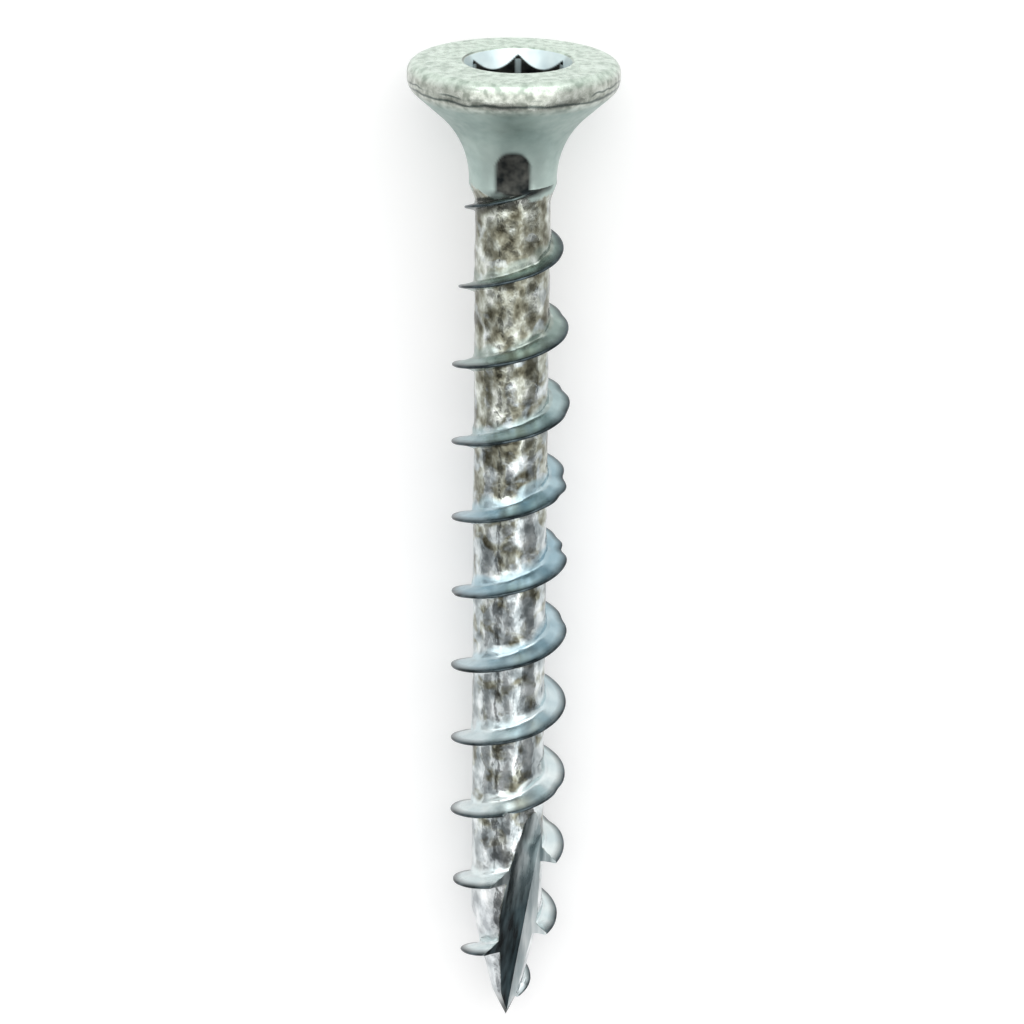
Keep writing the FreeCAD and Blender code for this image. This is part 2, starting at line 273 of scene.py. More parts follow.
# %% [markdown]
# ## A painted dark reflection
# The neck carries a nearly black painted dark reflection on its front, two fifths as wide as the neck and
# round at its top. A dark card in the studio, mirrored by the metal, would slide over the neck in other
# views, so the reflection is painted on the skin instead.

# %% The painted dark reflection on the neck
# Size and place of the painted dark reflection on the neck's front
NECK_REFLECTION_HALF_WIDTH = 0.68
NECK_REFLECTION_TOP = 3.16
NECK_REFLECTION_ROUND = 0.55
NECK_REFLECTION_FOOT = 4.9
NECK_REFLECTION_EDGE = 0.17


def neck_dark_reflection(x, y, station):
    """How dark the painted reflection makes a point of the neck, from 0 to 1; the front is towards negative
    Y.
    """
    if y > 0:
        return 0.0
    across = abs(x) / NECK_REFLECTION_HALF_WIDTH
    inside = min(
        (1 - across) * NECK_REFLECTION_HALF_WIDTH / NECK_REFLECTION_EDGE + 0.5,
        (station - NECK_REFLECTION_TOP - NECK_REFLECTION_ROUND * across ** 3) / NECK_REFLECTION_EDGE + 0.5,
        (NECK_REFLECTION_FOOT - station) / NECK_REFLECTION_EDGE + 0.5,
    )
    return max(0.0, min(1.0, inside))


print("in the smudge's middle the mark is", neck_dark_reflection(0, -1, 4.5))

# %% [markdown]
# ## The head
# The face turns into the rim in a soft round. The round under the rim is larger than in the
# CAD model, where it is one short cone, and touches the same slope. The flare below is hollow,
# as on a hinge screw that seats in a leaf.

# %% The face, the rim, the flare and the neck
FACE_STEPS = 12
FLARE_STEPS = 40
SOFT_RADIUS = 0.7
face_edge = circle(HEAD_RADIUS - RIM_TOP_RADIUS)
for step in range(1, FACE_STEPS + 1):
    share = step / FACE_STEPS
    following = add_ring(edge + (face_edge - edge) * share, 0)
    join_rings(ring, following, HEAD_FINISH)
    ring = following
head_profile = []
for angle in np.radians(np.arange(10, 91, 10)):
    round_in = RIM_TOP_RADIUS * (1 - math.sin(angle))
    head_profile.append((HEAD_RADIUS - round_in, -RIM_TOP_RADIUS * (1 - math.cos(angle))))
raised = math.sin(FLARE_ANGLE) - (1 - math.cos(FLARE_ANGLE)) / math.tan(FLARE_ANGLE)
soft_start = UNDER_START - (SOFT_RADIUS - RIM_UNDER_RADIUS) * raised
for angle in np.linspace(0, FLARE_ANGLE, 12):
    round_in = SOFT_RADIUS * (1 - math.cos(angle))
    head_profile.append((HEAD_RADIUS - round_in, -soft_start - SOFT_RADIUS * math.sin(angle)))
for angle in np.linspace(FLARE_ANGLE, 0, FLARE_STEPS):
    radius = NECK_RADIUS + FLARE_RADIUS * (1 - math.cos(angle))
    head_profile.append((radius, -FLARE_END + FLARE_RADIUS * math.sin(angle)))
for radius, height in head_profile:
    outline = circle(radius)
    following = add_ring(outline, height, [neck_dark_reflection(x, y, -height) for x, y in outline])
    join_rings(ring, following, HEAD_FINISH)
    ring = following
neck_ring = ring
print("with the head there are", len(points), "points")

# %% [markdown]
# ## The thread
# The die rolls the thread up out of the wire, so the ridge and the core are one surface, and
# for every angle and station it has one radius. The core tapers below the neck and at the
# point, and the crest grows out of the neck and dies out at the point.

# %% Radii along the screw
nose_start = LENGTH - NOSE_LENGTH
taper_start = LENGTH - POINT_LENGTH
CORE_STATIONS = (FLARE_END, NECK_END - 0.35, NECK_END + 0.3, taper_start, nose_start, LENGTH)
CORE_RADII = (NECK_RADIUS, NECK_RADIUS, SHANK_RADIUS, SHANK_RADIUS, NOSE_RADIUS, 0)
CREST_STATIONS = (FLARE_END, NECK_END - 0.2, NECK_END + 0.7, 7.5, 9.1, 12.1,
                  33.6, 35.2, 36.8, 38.3, 39.9, 40.8, 41.1)
CREST_RADII = (1.66, 1.84, 1.89, 2.02, 2.12, 2.37,
               2.37, 2.26, 2.12, 1.95, 1.05, 0.45, -0.5)


def crest_station(turn, angle):
    """The station of the crest on a turn, at an angle round the axis, for a right-hand thread."""
    first = LENGTH - THREAD_POINT_GAP - 10 * THREAD_PITCH
    return first + THREAD_PITCH * (turn - angle / TURN)


print(f"at the right the first crest is at {crest_station(0, 0):.2f} mm")

# %% [markdown]
# Zinc-plated wood screws tumble about in barrels, so their thin crests get nicks. Each is a
# smooth dip at a place on the helix, and the ones on the right follow the photograph.

# %% Nicks in the crest
# A nick is a turn counted from the head, an angle from the right side, a depth and a width
NICKS = (
    (1, 20, 0.08, 9), (2, -14, 0.06, 12), (2, 24, 0.10, 8), (3, 4, 0.24, 13), (3, -28, 0.10, 9),
    (4, 8, 0.26, 10), (4, 30, 0.12, 9), (5, 16, 0.10, 10), (7, -25, 0.06, 8), (8, 40, 0.08, 7),
    (5, 190, 0.05, 8), (7, 150, 0.06, 10), (3, 215, 0.05, 8),
)


def nick_depth(turn, angle):
    """How much the crest has lost at this place of the helix."""
    travelled = turn * 360 - math.degrees(angle)
    lost = 0.0
    for nick_turn, nick_angle, depth, width in NICKS:
        offset = (travelled - nick_turn * 360 + nick_angle) / width
        lost += depth * math.exp(-offset ** 2)
    return lost


print(len(NICKS), "nicks, the deepest", max(depth for _, _, depth, _ in NICKS), "mm")

# %% [markdown]
# The ridge's own shape is a short list: how far the surface drops from the crest, at an offset
# along the axis. A soft blend joins it to the core.

# %% The ridge
RIDGE_OFFSETS = (0, 0.03, 0.055, 0.119, 0.211, 0.34)
RIDGE_DROPS = (0, 0.005, 0.03, 0.33, 0.63, 0.95)
BEYOND_SLOPE = 3.0
FILLET = 0.1
SIDE_HEIGHT = 0.22
CREST_REACH = (0.055, 0.125)


def ridge_drop(reach):
    """How far the ridge lies below its crest, at a reach from it along the axis."""
    beyond = max(0.0, reach - RIDGE_OFFSETS[-1])
    return float(np.interp(reach, RIDGE_OFFSETS, RIDGE_DROPS)) + BEYOND_SLOPE * beyond


print("0.2 mm from the crest the ridge has dropped by", round(ridge_drop(0.2), 2), "mm")

# %% [markdown]
# On the head's side the ridge has a smooth root that lies a little above the core, and the
# core is left uneven by the die. Smooth noise with bumps of a real size makes all of this
# wander.

# %% The root and the uneven core
ROOT_REACH = 0.86
ROOT_FADE = 0.42
ROOT_RISE = 0.05
ROOT_STATIONS = (6, 20)
ROOT_MARKS = (0.42, 0.7)
# Each of these is a height and a size in millimetres, and a seed
CORE_LUMPS = (0.03, 0.6, 3)
CORE_GRAINS = (0.016, 0.3, 9)
CREST_WAVES = (0.02, 0.9, 21)
CREST_WAVES_ROUND = 1.5
LINE_WAVES = (0.02, 1.1, 33)
ROOT_WAVES = (0.42, 0.6, 45)


def wander(x, y, z, height, grain, seed):
    """Smooth noise up to about the height, with bumps of a real size in millimetres."""
    return height * noise.noise(Vector((x, y, z)) / grain + Vector((seed, 0, 0)))


def root_share(x, y, station, offset, reach):
    """How much a point belongs to the smooth root above the ridge, from 0 to 1."""
    if offset >= 0:
        return 0.0
    share = (ROOT_REACH + wander(x, y, station, *ROOT_WAVES) - reach) / ROOT_FADE
    return max(0.0, min(1.0, share))


print("the root lies up to", ROOT_RISE, "mm above the core")

# %% [markdown]
# A painted shadow runs along both sides of the first turn's crest, and the point is drawn darker.

# %% Painted shadow on the first turn, and a darker point
FIRST_TURN = (6.1, 7.6)
# On the first turn the crest's painted dark line is wider, as part of its painted shadow
FIRST_WIDER = 2.6
FIRST_TURN_SHADOW = 0.95
FIRST_SHADOW_START = 0.1
FIRST_SHADOW_REACH = 0.34
SHADOW_WAVES = (1, 0.5, 57)
# The point is drawn darker over its last millimetre
TIP_DARK_STATIONS = (40.0, 41.0)
TIP_DARK = 0.85


def thread_painted_dark(x, y, station, first, reach):
    """The painted dark on a point of the thread, from 0 to 1: the neck's painted reflection, the first turn's
    painted shadow and the darker point; first is 1 on the first turn.
    """
    painted_dark = neck_dark_reflection(x, y, station) + float(np.interp(station, TIP_DARK_STATIONS, (0, TIP_DARK)))
    shadow_reach = FIRST_SHADOW_REACH * (1 + wander(x, y, station, *SHADOW_WAVES))
    painted_dark += first * FIRST_TURN_SHADOW * max(0.0, 1 - max(0.0, reach - FIRST_SHADOW_START) / shadow_reach)
    return min(1.0, painted_dark)


print("the point's soil is", TIP_DARK)

# %% [markdown]
# One function puts this together for a place on the helix: a turn, an offset along the axis
# from the crest and a column.

# %% One point of the thread
POINT_STATION = LENGTH - 0.06
SMOOTH_START = 0.6


def thread_point(turn, offset, column):
    """One point of the rolled skin, or None above the neck's end or below the point."""
    angle = column_angles[column]
    station = crest_station(turn, angle) + offset
    if not FLARE_END < station < POINT_STATION:
        return None
    cosine = math.cos(angle)
    sine = math.sin(angle)
    core = float(np.interp(station, CORE_STATIONS, CORE_RADII))
    x, y = core * cosine, core * sine
    uneven = min(1.0, core / SHANK_RADIUS) * max(0.0, min(1.0, (station - NECK_END) / SMOOTH_START))
    core += uneven * (wander(x, y, station, *CORE_LUMPS) + wander(x, y, station, *CORE_GRAINS))
    crest = float(np.interp(station - offset, CREST_STATIONS, CREST_RADII))
    round_x, round_y = x * CREST_WAVES_ROUND, y * CREST_WAVES_ROUND
    crest += wander(round_x, round_y, station - offset, *CREST_WAVES) - nick_depth(turn, angle)
    reach = abs(offset + wander(x, y, station - offset, *LINE_WAVES))
    root = uneven * root_share(x, y, station, offset, reach)
    core += ROOT_RISE * root * root
    ridge = crest - ridge_drop(reach)
    gap = core - ridge
    radius = (core + ridge + math.sqrt(gap * gap + FILLET * FILLET * 0.25)) / 2
    side_mark = max(0.0, min(1.0, (radius - core) / SIDE_HEIGHT))
    first = float(np.interp(station - offset, FIRST_TURN, (1, 0)))
    wider = 1 + first * (FIRST_WIDER - 1)
    crest_mark = float(np.interp(reach / wider, CREST_REACH, (1, 0))) * side_mark
    side_mark = max(side_mark, root * float(np.interp(station, ROOT_STATIONS, ROOT_MARKS)))
    x, y = radius * cosine, radius * sine
    return add_point(x, y, -station, side_mark, crest_mark, thread_painted_dark(x, y, station, first, reach))


print("the skin's last ring is at", POINT_STATION, "mm")

# %% [markdown]
# The rows of the grid follow the helix, close together on the ridge and further apart on the
# core, which keeps the crest crisp. Places above the flare's end or below the last ring fall
# together on the rings that are already there, so the helical rows end in a clean circle.

# %% Rows of the helical grid
half_rows = (0, 0.03, 0.055, 0.08, 0.105, 0.13, 0.165, 0.2, 0.24, 0.28, 0.32, 0.36, 0.41, 0.48, 0.58,
             0.7, 0.83, 0.97, 1.12, 1.28, 1.45)
row_offsets = sorted({-value for value in half_rows} | set(half_rows) | {THREAD_PITCH / 2})
TURNS = range(-1, 12)
point_outline = circle(NOSE_RADIUS * (LENGTH - POINT_STATION) / NOSE_LENGTH)
point_ring = add_ring(point_outline, -POINT_STATION, TIP_DARK)
grid = []
for turn in TURNS:
    for offset in row_offsets:
        row = []
        for column in range(COLUMNS):
            found = thread_point(turn, offset, column)
            if found is None:
                above = crest_station(turn, column_angles[column]) + offset <= FLARE_END
                found = neck_ring[column] if above else point_ring[column]
            row.append(found)
        grid.append(row)
print("the grid has", len(grid), "rows")

# %% [markdown]
# Each row is joined to the next one. After the last column a row goes on in the first column
# of the turn above, because the angle has come round by one pitch.

# %% Join the rows and close the point
rows_in_turn = len(row_offsets)
for number in range(len(grid) - 1):
    for column in range(COLUMNS):
        if column + 1 < COLUMNS:
            right, right_below = grid[number][column + 1], grid[number + 1][column + 1]
        elif number >= rows_in_turn:
            right, right_below = grid[number - rows_in_turn][0], grid[number + 1 - rows_in_turn][0]
        else:
            continue
        add_face((grid[number][column], grid[number + 1][column], right_below, right), THREAD_FINISH)
tip = add_point(0, 0, -LENGTH, painted_dark=TIP_DARK)
for column in range(COLUMNS):
    add_face((point_ring[column], tip, point_ring[(column + 1) % COLUMNS]), THREAD_FINISH)
print("the whole skin has", len(points), "points and", len(faces), "faces")

# %% [markdown]
# ## The mesh
# The lists become a Blender mesh in metres. The marks and the station are kept as attributes,
# so that a material can tell the thread's sides, its crest and the core apart.

# %% Make the screw's mesh
def make_mesh(name, corners, polygons, polygon_finishes, corner_marks):
    """An object from lists, with a material number for each face and four marks for each point."""
    mesh = bpy.data.meshes.new(name)
    mesh.from_pydata([Vector(corner) * MM for corner in corners], [], polygons)
    mesh.polygons.foreach_set("material_index", polygon_finishes)
    for mark, values in zip(("ridge", "crest", "painted_dark", "station"), zip(*corner_marks)):
        attribute = mesh.attributes.new(mark, "FLOAT", "POINT")
        attribute.data.foreach_set("value", values)
    mesh.update()
    mesh.validate()
    made = bpy.data.objects.new(name, mesh)
    bpy.context.scene.collection.objects.link(made)
    return made


skin = make_mesh("screw_skin", points, faces, finishes, marks)
print(skin.name, "has", len(skin.data.polygons), "faces")

# %% [markdown]
# ## The flute
# The last threads are cut through by a right-angled notch, which lets the point bite. It is
# cut after rolling, so its walls are flat and its edges sharp: a Boolean with a wedge does that.

# %% Cut the flute with a wedge
FLUTE_LENGTH = 8.9
FLUTE_SIDE = 1.45
FLUTE_FRONT = 0.45
FLUTE_WEB = 0.1
FLUTE_REACH = 4.0
WEDGE_TOP = 1.18
WEDGE_FOOT = -0.12


def flute_corners(share):
    """The wedge's three corners at a share of the flute's length above the tip."""
    side = share * FLUTE_SIDE
    front = FLUTE_WEB + share * (FLUTE_FRONT - FLUTE_WEB)
    height = share * FLUTE_LENGTH - LENGTH
    return [
        (side, -front, height),
        (side - FLUTE_REACH, -front - FLUTE_REACH, height),
        (side + FLUTE_REACH, -front - FLUTE_REACH, height),
    ]


wedge_corners = flute_corners(WEDGE_TOP) + flute_corners(WEDGE_FOOT)
wedge_faces = [(0, 1, 2), (3, 5, 4), (0, 3, 4, 1), (1, 4, 5, 2), (2, 5, 3, 0)]
wedge_finishes = [CUT_FINISH, CUT_FINISH, CUT_FINISH, CUT_FINISH, LAND_FINISH]
wedge_marks = [(0, 0, 0, LENGTH)] * len(wedge_corners)
wedge = make_mesh("wedge", wedge_corners, wedge_faces, wedge_finishes, wedge_marks)
print("the wedge reaches", round(WEDGE_TOP * FLUTE_LENGTH, 1), "mm above the tip")

# %% [markdown]
# ## Materials
# The wire is low-carbon steel with an electroplated coat of zinc, passivated clear, which
# leaves a cold white metal with a breath of blue and green. Every finish below is that metal,
# left in another state by its tool. One small function adds a node of any kind: an input takes
# a number, a colour or the output of an earlier node.

# %% Helpers for materials
def linear(hex_colour):
    """An sRGB hex value such as #8090a0 as a linear colour with alpha."""
    channels = [int(hex_colour[place:place + 2], 16) / 255 for place in (1, 3, 5)]
    values = [c / 12.92 if c <= 0.04045 else ((c + 0.055) / 1.055) ** 2.4 for c in channels]
    return (*values, 1.0)


def per_size(millimetres):
    """The scale that gives a procedural pattern this size in object coordinates."""
    return 1 / (millimetres * MM)


def add_node(owner, kind, inputs=None, output=0, stops=(), **settings):
    """Adds a node to a material or world and returns one of its outputs; stops fill a ramp."""
    node = owner.node_tree.nodes.new(kind)
    for name, value in settings.items():
        setattr(node, name, value)
    for name, value in (inputs or {}).items():
        if isinstance(value, bpy.types.NodeSocket):
            owner.node_tree.links.new(value, node.inputs[name])
        else:
            node.inputs[name].default_value = value
    for _ in stops[2:]:
        node.color_ramp.elements.new(0.5)
    for number, (position, hex_colour) in enumerate(stops):
        node.color_ramp.elements[number].position = position
        node.color_ramp.elements[number].color = linear(hex_colour)
    return node.outputs[output] if len(node.outputs) else None


print("#8090a0 is", [round(value, 3) for value in linear("#8090a0")])

# %% [markdown]
# Two steps come back in every finish of the screw: a new empty material, and the shader of bare
# metal at its end. The metal keeps the default IOR, because its colour sets how it reflects.

# %% The metal under every finish
def new_material(name):
    """An empty material with nodes."""
    material = bpy.data.materials.new(name)
    material.use_nodes = True
    material.node_tree.nodes.clear()
    return material


def metal(material, colour, roughness, height, strength, distance):
    """The shader of bare metal, with its bump as a real height in millimetres."""
    bump_inputs = {"Height": height, "Strength": strength, "Distance": distance * MM}
    bump = add_node(material, "ShaderNodeBump", bump_inputs)
    look = {"Base Color": colour, "Metallic": 1.0, "Roughness": roughness, "Normal": bump}
    shader = add_node(material, "ShaderNodeBsdfPrincipled", look)
    add_node(material, "ShaderNodeOutputMaterial", {"Surface": shader})
    return material


print("every finish ends in a metallic shader")

# %% [markdown]
# The painted dark is nearly black, neutral and a little blotchy: painted shade in the recess and along the
# first turn, a painted dark reflection on the neck, and a darker point. It goes over any colour where the
# mesh is marked. In a Mix node for colours, input 0 is the factor, and inputs 6 and 7 and output 2 are the
# colours.

# %% Painted dark: painted shade and painted reflection
# Colours of the painted dark, nearly black: painted shade and painted reflection
PAINTED_DARK_COLOURS = ((0.34, "#1c2021"), (0.66, "#51524e"))
PAINTED_DARK_SIZE = 0.5


def painted_dark_over(material, place, colour):
    """The colour with the painted dark over it where the mesh is marked."""
    blotches = add_node(material, "ShaderNodeTexNoise", {"Vector": place, "Scale": per_size(PAINTED_DARK_SIZE)})
    painted_dark_colour = add_node(material, "ShaderNodeValToRGB", {"Fac": blotches}, stops=PAINTED_DARK_COLOURS)
    painted_dark = add_node(material, "ShaderNodeAttribute", output="Fac", attribute_name="painted_dark")
    mix = {0: painted_dark, 6: colour, 7: painted_dark_colour}
    return add_node(material, "ShaderNodeMix", mix, output=2, data_type="RGBA")


print("soil has blotches of", PAINTED_DARK_SIZE, "mm")

# %% [markdown]
# A thin dark line runs unevenly under the rim, and a broken one runs just above it; both are painted dark
# reflections. Each is a line round the axis at a station that wanders.

# %% Painted dark reflection lines under the rim
# Two painted dark reflection lines under the rim
LOWER_LINE_STATION = 0.87
LOWER_LINE_WIDTH = 0.08
UPPER_LINE_STATION = 0.64
UPPER_LINE_WIDTH = 0.05
UPPER_LINE_BREAK_SIZE = 2.2
RIM_LINE_WAVE_SIZE = 1.1
RIM_LINE_REFLECTION_COLOURS = ((0.3, "#444e4b"), (0.7, "#626d69"))


def rim_line_mask(material, place, station, centre, width, share):
    """A thin uneven line round the axis, at a station."""
    waves = add_node(material, "ShaderNodeTexNoise", {"Vector": place, "Scale": per_size(RIM_LINE_WAVE_SIZE)})
    wave_range = {"Value": waves, "From Min": 0.3, "From Max": 0.7, "To Min": -0.08, "To Max": 0.08}
    shift = add_node(material, "ShaderNodeMapRange", wave_range)
    wavy = add_node(material, "ShaderNodeMath", {0: station, 1: shift}, operation="ADD")
    offset = add_node(material, "ShaderNodeMath", {0: wavy, 1: centre}, operation="SUBTRACT")
    away = add_node(material, "ShaderNodeMath", {0: offset}, operation="ABSOLUTE")
    fade = {"Value": away, "From Min": 0.02, "From Max": width, "To Min": share, "To Max": 0.0}
    return add_node(material, "ShaderNodeMapRange", fade)


def with_rim_reflection_lines(material, place, station, speckle, colour):
    """The colour with the two painted dark reflection lines over it, the upper one broken."""
    line_reflection_colour = add_node(material, "ShaderNodeValToRGB", {"Fac": speckle}, stops=RIM_LINE_REFLECTION_COLOURS)
    lower_line = rim_line_mask(material, place, station, LOWER_LINE_STATION, LOWER_LINE_WIDTH, share=0.9)
    upper_line = rim_line_mask(material, place, station, UPPER_LINE_STATION, UPPER_LINE_WIDTH, share=0.8)
    patch_inputs = {"Vector": place, "Scale": per_size(UPPER_LINE_BREAK_SIZE)}
    patches = add_node(material, "ShaderNodeTexNoise", patch_inputs)
    breaks = add_node(material, "ShaderNodeMapRange", {"Value": patches, "From Min": 0.47, "From Max": 0.56})
    broken = add_node(material, "ShaderNodeMath", {0: upper_line, 1: breaks}, operation="MULTIPLY")
    for line in (lower_line, broken):
        mix = {0: line, 6: colour, 7: line_reflection_colour}
        colour = add_node(material, "ShaderNodeMix", mix, output=2, data_type="RGBA")
    return colour


print("the seam is", LOWER_LINE_WIDTH * 2, "mm wide at most")

# %% [markdown]
# Cold-formed zinc plate covers the head. The face keeps a fine speckle from the barrel that the screws were
# plated in, with a green breath from the passivation, and is painted lighter as painted light. The flare was
# drawn smooth in its die, so it is more even; it and the rim are the same zinc painted greyer, as painted
# shade, and the neck below the flare is a little paler.

# %% Head finish
SPECKLE_SIZE = 0.3
CLOUD_SIZE = 1.4
# The face is painted lighter as painted light, and the rim and the flare darker as painted shade
LIT_FACE_COLOURS = ((0.34, "#a3b2a6"), (0.5, "#c2d0c4"), (0.66, "#d2dfd4"))
SHADED_RIM_COLOURS = ((0.34, "#868c83"), (0.5, "#acb1a8"), (0.66, "#c2c7bf"))
SHADED_FLARE_COLOURS = ((0.3, "#8a9c97"), (0.7, "#a0b0aa"))
NECK_COLOURS = ((0.3, "#a3b4af"), (0.7, "#b8c7c1"))


def head_finish():
    """Speckled on the face and the rim, and even on the flare and the neck."""
    paint = new_material("zinc_plate_on_formed_head")
    place = add_node(paint, "ShaderNodeTexCoord", output="Object")
    station = add_node(paint, "ShaderNodeAttribute", output="Fac", attribute_name="station")
    speckle_inputs = {"Vector": place, "Scale": per_size(SPECKLE_SIZE), "Detail": 3.0}
    speckle = add_node(paint, "ShaderNodeTexNoise", speckle_inputs)
    clouds = add_node(paint, "ShaderNodeTexNoise", {"Vector": place, "Scale": per_size(CLOUD_SIZE)})
    colour = add_node(paint, "ShaderNodeValToRGB", {"Fac": speckle}, stops=LIT_FACE_COLOURS)
    zones = ((0.1, 0.4, speckle, SHADED_RIM_COLOURS), (0.95, 1.35, clouds, SHADED_FLARE_COLOURS),
             (2.6, 4.2, clouds, NECK_COLOURS))
    for start, end, pattern, colours in zones:
        zone_colour = add_node(paint, "ShaderNodeValToRGB", {"Fac": pattern}, stops=colours)
        zone_range = {"Value": station, "From Min": start, "From Max": end}
        share = add_node(paint, "ShaderNodeMapRange", zone_range)
        mix = {0: share, 6: colour, 7: zone_colour}
        colour = add_node(paint, "ShaderNodeMix", mix, output=2, data_type="RGBA")
    colour = painted_dark_over(paint, place, with_rim_reflection_lines(paint, place, station, speckle, colour))
    face_range = {"Value": speckle, "From Min": 0.3, "From Max": 0.7, "To Min": 0.32, "To Max": 0.22}
    face_roughness = add_node(paint, "ShaderNodeMapRange", face_range)
    more_range = {"Value": station, "From Min": 0.95, "From Max": 1.2, "To Min": 1.0, "To Max": 1.7}
    more = add_node(paint, "ShaderNodeMapRange", more_range)
    roughness = add_node(paint, "ShaderNodeMath", {0: face_roughness, 1: more}, operation="MULTIPLY")
    bump_range = {"Value": station, "From Min": 0.95, "From Max": 1.35, "To Min": 1.0, "To Max": 0.25}
    strength = add_node(paint, "ShaderNodeMapRange", bump_range)
    return metal(paint, colour, roughness, speckle, strength, distance=0.012)


head_paint = head_finish()
print(head_paint.name, "has", len(head_paint.node_tree.nodes), "nodes")

# %% [markdown]
# The punch presses the mouth smooth and the key keeps it bright, so its wall is a satin, slightly blue white.
# The socket below it is painted dark, as painted shade.

# %% Mouth finish
MOUTH_COLOURS = ((0.3, "#c1d2d5"), (0.7, "#dfecec"))
MOUTH_CLOUD_SIZE = 0.9


def mouth_finish():
    """Satin and nearly white, with soft clouds."""
    paint = new_material("zinc_plate_on_pressed_mouth")
    place = add_node(paint, "ShaderNodeTexCoord", output="Object")
    clouds = add_node(paint, "ShaderNodeTexNoise", {"Vector": place, "Scale": per_size(MOUTH_CLOUD_SIZE)})
    colour = add_node(paint, "ShaderNodeValToRGB", {"Fac": clouds}, stops=MOUTH_COLOURS)
    rough_range = {"Value": clouds, "From Min": 0.3, "From Max": 0.7, "To Min": 0.5, "To Max": 0.42}
    roughness = add_node(paint, "ShaderNodeMapRange", rough_range)
    strength = add_node(paint, "ShaderNodeMapRange", {"Value": clouds, "To Min": 0.3, "To Max": 0.5})
    return metal(paint, painted_dark_over(paint, place, colour), roughness, clouds, strength, distance=0.01)


mouth_paint = mouth_finish()
print(mouth_paint.name, "has", len(mouth_paint.node_tree.nodes), "nodes")

# %% [markdown]
# The rolled thread has three looks. The core is left bright but lumpy by the die, with
# brownish stains of dried plating liquor near the head: darker above, paler further down and
# palest at the point. The stains shift the borders between these, so they look ragged.

# %% Colours of the core
LUMP_SIZE = 0.56
STAIN_SIZE = 0.8
UPPER_COLOURS = ((0.33, "#4a483b"), (0.46, "#7b7b6d"), (0.58, "#abafa5"), (0.7, "#dce0da"))
LOWER_COLOURS = ((0.33, "#7c8486"), (0.46, "#a5adaf"), (0.58, "#ccd3d4"), (0.7, "#e6ebec"))
TIP_COLOURS = ((0.34, "#a2a7aa"), (0.5, "#c9ced0"), (0.66, "#e6e9ea"))


def core_colour(paint, station, lumps, stains):
    """The core's colour from the neck down to the point."""
    upper = add_node(paint, "ShaderNodeValToRGB", {"Fac": lumps}, stops=UPPER_COLOURS)
    lower = add_node(paint, "ShaderNodeValToRGB", {"Fac": lumps}, stops=LOWER_COLOURS)
    point = add_node(paint, "ShaderNodeValToRGB", {"Fac": lumps}, stops=TIP_COLOURS)
    down_range = {"Value": station, "From Min": 8, "From Max": 22, "To Min": 0.0, "To Max": 0.7}
    down = add_node(paint, "ShaderNodeMapRange", down_range)
    spread_range = {"Value": stains, "From Min": 0.35, "From Max": 0.65, "To Min": 0.5, "To Max": -0.5}
    spread = add_node(paint, "ShaderNodeMapRange", spread_range)
    ragged = add_node(paint, "ShaderNodeMath", {0: down, 1: spread}, operation="ADD")
    share = add_node(paint, "ShaderNodeMapRange", {"Value": ragged, "From Min": 0.3, "From Max": 0.7})
    colour = add_node(paint, "ShaderNodeMix", {0: share, 6: upper, 7: lower}, output=2, data_type="RGBA")
    share = add_node(paint, "ShaderNodeMapRange", {"Value": station, "From Min": 32, "From Max": 36})
    return add_node(paint, "ShaderNodeMix", {0: share, 6: colour, 7: point}, output=2, data_type="RGBA")


print("the core's lumps are", LUMP_SIZE, "mm wide")

# %% [markdown]
# The sides of the thread are smooth and satin: grey near the head, bluer in the middle and pale at the point.
# The crest is painted as a thin dark line, a painted dark reflection.

# %% Colours of the thread's sides and crest
GREY_COLOURS = ((0.3, "#84958f"), (0.7, "#afc0bb"))
BLUE_COLOURS = ((0.3, "#93b0bc"), (0.7, "#bad2db"))
PALE_COLOURS = ((0.3, "#d3e1e3"), (0.7, "#eff6f5"))
# The crest's thin dark line is a painted dark reflection
CREST_REFLECTION_COLOURS = ((0.35, "#262d2f"), (0.65, "#4f5a5e"))
SIDE_CLOUD_SIZE = 0.9
CREST_CLOUD_SIZE = 0.6


def side_colour(paint, place, station):
    """The colour of the thread's sides from the neck down to the point."""
    clouds = add_node(paint, "ShaderNodeTexNoise", {"Vector": place, "Scale": per_size(SIDE_CLOUD_SIZE)})
    colour = add_node(paint, "ShaderNodeValToRGB", {"Fac": clouds}, stops=GREY_COLOURS)
    for start, end, colours in ((11, 18, BLUE_COLOURS), (22, 30, PALE_COLOURS)):
        zone_colour = add_node(paint, "ShaderNodeValToRGB", {"Fac": clouds}, stops=colours)
        zone_range = {"Value": station, "From Min": start, "From Max": end}
        share = add_node(paint, "ShaderNodeMapRange", zone_range)
        mix = {0: share, 6: colour, 7: zone_colour}
        colour = add_node(paint, "ShaderNodeMix", mix, output=2, data_type="RGBA")
    return colour


print("the sides' clouds are", SIDE_CLOUD_SIZE, "mm wide")

# %% [markdown]
# The neck's end is ragged, because the thread's die bit into it unevenly: the stains shift
# its border up and down.

# %% The neck's ragged end
NECK_SHIFT = 0.35
NECK_BORDER = (NECK_END - 0.1, NECK_END - 0.3)


def neck_share(paint, station, stains):
    """1 on the neck and 0 on the core."""
    shift_range = {"Value": stains, "From Min": 0.3, "From Max": 0.7,
                   "To Min": -NECK_SHIFT, "To Max": NECK_SHIFT}
    shift = add_node(paint, "ShaderNodeMapRange", shift_range)
    ragged = add_node(paint, "ShaderNodeMath", {0: station, 1: shift}, operation="ADD")
    border = {"Value": ragged, "From Min": NECK_BORDER[0], "From Max": NECK_BORDER[1]}
    return add_node(paint, "ShaderNodeMapRange", border)


print(f"the neck fades out by {NECK_BORDER[0]:.2f} mm")

# %% [markdown]
# The marks on the mesh put these colours together. The core is the brightest mirror, and the
# sides and the neck are rougher.

